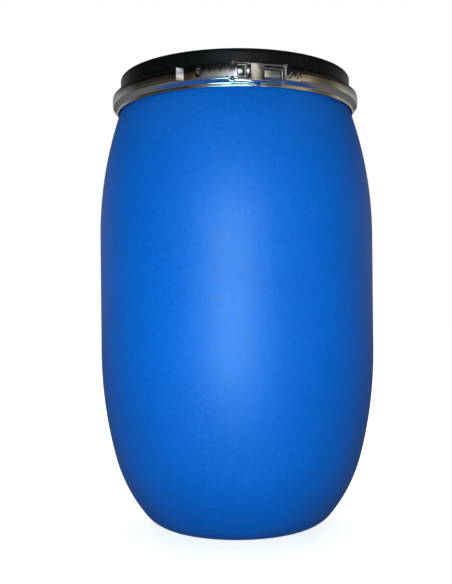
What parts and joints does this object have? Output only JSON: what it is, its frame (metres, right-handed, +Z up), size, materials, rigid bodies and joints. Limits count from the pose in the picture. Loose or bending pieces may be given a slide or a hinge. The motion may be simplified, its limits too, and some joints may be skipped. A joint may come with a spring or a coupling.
{
  "type": "plastic open head drum",
  "caption": "Barrel-shaped plastic drum with an open head, a lid with a gasket, and a steel clamp ring closed by a lever, toggle link and hook.",
  "frame": {"origin": "centre of the foot, on the surface that the drum stands on", "axes": "+Z up along the drum's axis, -Y towards the lever closure"},
  "size_m": [0.4899, 0.49, 0.8],
  "materials": {
    "body_plastic": "moulded satin",
    "lid_plastic": "moulded semi gloss",
    "gasket_rubber": "foamed matte",
    "band_steel": "bright galvanised",
    "closure_steel": "zinc plated",
    "pin_steel": "zinc plated"
  },
  "bodies": {
    "drum": {"drum_body": "body_plastic"},
    "lid": {"lid": "lid_plastic", "lid_gasket": "gasket_rubber"},
    "ring": {"clamp_ring": "band_steel"},
    "end_a": {"lever_bracket": "closure_steel", "lever_bracket_rivets": "pin_steel", "seal_stud": "pin_steel"},
    "end_b": {"hook_bracket": "closure_steel", "hook_bracket_rivets": "pin_steel"},
    "lever": {"lever": "closure_steel", "lever_pivot_pin": "pin_steel", "link_pin": "pin_steel"},
    "link": {"toggle_link": "closure_steel", "hook_pin": "pin_steel"}
  },
  "joints": [
    {"name": "ring_lift", "type": "slide", "parent": "drum", "child": "ring", "axis": [0, 0, 1], "range_m": [0, 0.45], "deforming": ["clamp_ring"]},
    {"name": "lid_lift", "type": "slide", "parent": "drum", "child": "lid", "axis": [0, 0, 1], "range_m": [0, 0.225]},
    {"name": "end_a_spread", "type": "hinge", "parent": "ring", "child": "end_a", "pos_m": [-0.0477, 0.21518, 0.7555], "axis": [0, 0, -1], "range_deg": [0, 2.39]},
    {"name": "end_b_spread", "type": "hinge", "parent": "ring", "child": "end_b", "pos_m": [-0.0477, 0.21518, 0.7555], "axis": [0, 0, 1], "range_deg": [0, 2.39]},
    {"name": "lever_swing", "type": "hinge", "parent": "end_a", "child": "lever", "pos_m": [0.01597, -0.22844, 0.7555], "axis": [0, 0, 1], "range_deg": [0, 165], "deforming": ["clamp_ring"]},
    {"name": "link_swing", "type": "hinge", "parent": "lever", "child": "link", "pos_m": [-0.00338, -0.2312, 0.7555], "axis": [0, 0, -1], "range_deg": [0, 156.8]}
  ],
  "couplings": [
    {"joint": "lid_lift", "follows": "ring_lift", "ratio": 0.5},
    {"joint": "end_a_spread", "follows": "lever_swing", "ratio": 0.014473},
    {"joint": "end_b_spread", "follows": "lever_swing", "ratio": 0.014473},
    {"joint": "link_swing", "follows": "lever_swing", "ratio": 0.95012}
  ]
}
